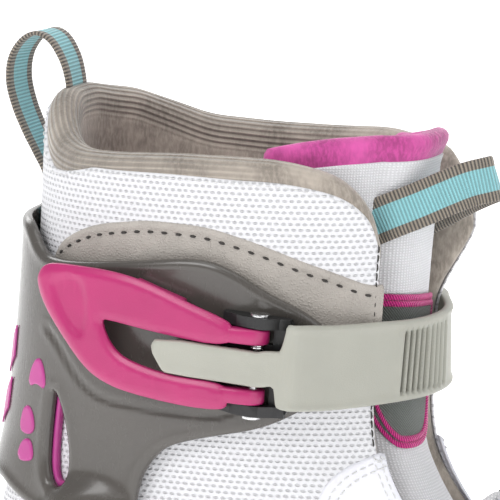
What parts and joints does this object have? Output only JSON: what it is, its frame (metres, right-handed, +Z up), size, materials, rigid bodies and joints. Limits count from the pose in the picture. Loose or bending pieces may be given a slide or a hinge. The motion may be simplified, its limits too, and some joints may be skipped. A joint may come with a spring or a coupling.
{
  "type": "ice skate",
  "caption": "Soft-boot recreational ice skate with a padded collar, hinged plastic cuff, ratchet strap buckle, pull loops and a steel runner on a plastic holder.",
  "frame": {"origin": "middle of the runner's flat edge, where it meets the ice", "axes": "+X towards the toe, +Y towards the inner side of the foot (a right skate, buckle on -Y), +Z up"},
  "size_m": [0.2925, 0.1169, 0.3183],
  "materials": {
    "blade_steel": "brushed, ground along its edge",
    "hardware_steel": "satin plated",
    "grey_plastic": "moulded, satin gloss",
    "sole_plastic": "moulded",
    "footbed_foam": "fabric on foam",
    "white_mesh": "spacer mesh on foam",
    "white_leather": "smooth coated, faint sheen",
    "beige_leather": "fine-grained synthetic",
    "taupe_lining": "brushed pile",
    "pink_lining": "brushed pile",
    "badge_twill": "twill with a braided edge",
    "webbing": "ribbed woven tape",
    "lace_cotton": "woven",
    "strap_plastic": "moulded, flexible",
    "pink_plastic": "moulded",
    "pink_inlay": "moulded",
    "black_plastic": "moulded, glossy"
  },
  "bodies": {
    "boot": {"runner": "blade_steel", "runner_bolts": "hardware_steel", "blade_holder": "grey_plastic", "sole_plate": "sole_plastic", "sole_rivets": "hardware_steel", "footbed": "footbed_foam", "vamp": "white_mesh", "quarters": "white_mesh", "toe_cap": "white_leather", "heel_counter": "grey_plastic", "tongue_lower": "white_mesh", "eyestay_lateral": "white_leather", "eyestay_medial": "white_leather", "eyelets": "hardware_steel", "lace": "lace_cotton", "lace_lock": "black_plastic", "lace_lock_spring": "hardware_steel", "lace_pull_tab": "black_plastic", "pivot_pin_lateral": "hardware_steel", "pivot_pin_medial": "hardware_steel"},
    "cuff_group": {"collar": "white_mesh", "collar_panel_lateral": "beige_leather", "collar_panel_medial": "beige_leather", "tongue_upper": "white_mesh", "tongue_badge": "badge_twill", "tongue_loop": "webbing", "heel_loop": "webbing", "cuff": "grey_plastic", "spine_inlays": "pink_inlay", "strap": "strap_plastic", "strap_screw": "hardware_steel", "strap_nut": "hardware_steel", "buckle_base": "black_plastic", "buckle_rivets": "hardware_steel", "lever_pin": "hardware_steel", "lever_spring": "hardware_steel", "pawl_pin": "hardware_steel", "pawl_spring": "hardware_steel"},
    "lever_body": {"lever": "pink_plastic"},
    "pawl_body": {"pawl": "pink_plastic"},
    "lock_button": {"lace_lock_button": "black_plastic"}
  },
  "joints": [
    {"name": "ankle_flex", "type": "hinge", "parent": "boot", "child": "cuff_group", "pos_m": [-0.081, 0, 0.152], "axis": [0, 1, 0], "range_deg": [-4, 14], "stiffness_Nm_per_rad": 40},
    {"name": "buckle_lever", "type": "hinge", "parent": "cuff_group", "child": "lever_body", "pos_m": [-0.01865, -0.05301, 0.21983], "axis": [0.0868, 0.0076, 0.9962], "range_deg": [0, 87]},
    {"name": "ratchet_pawl", "type": "hinge", "parent": "cuff_group", "child": "pawl_body", "pos_m": [-0.03357, -0.05402, 0.22113], "axis": [0.0868, 0.0076, 0.9962], "range_deg": [0, 6], "stiffness_Nm_per_rad": 0.05, "deforming": ["pawl_spring"]},
    {"name": "lock_button", "type": "slide", "parent": "boot", "child": "lock_button", "axis": [0.8328, 0.0184, -0.5533], "range_m": [0, 0.0025], "stiffness_N_per_m": 400, "deforming": ["lace_lock_spring"]}
  ]
}
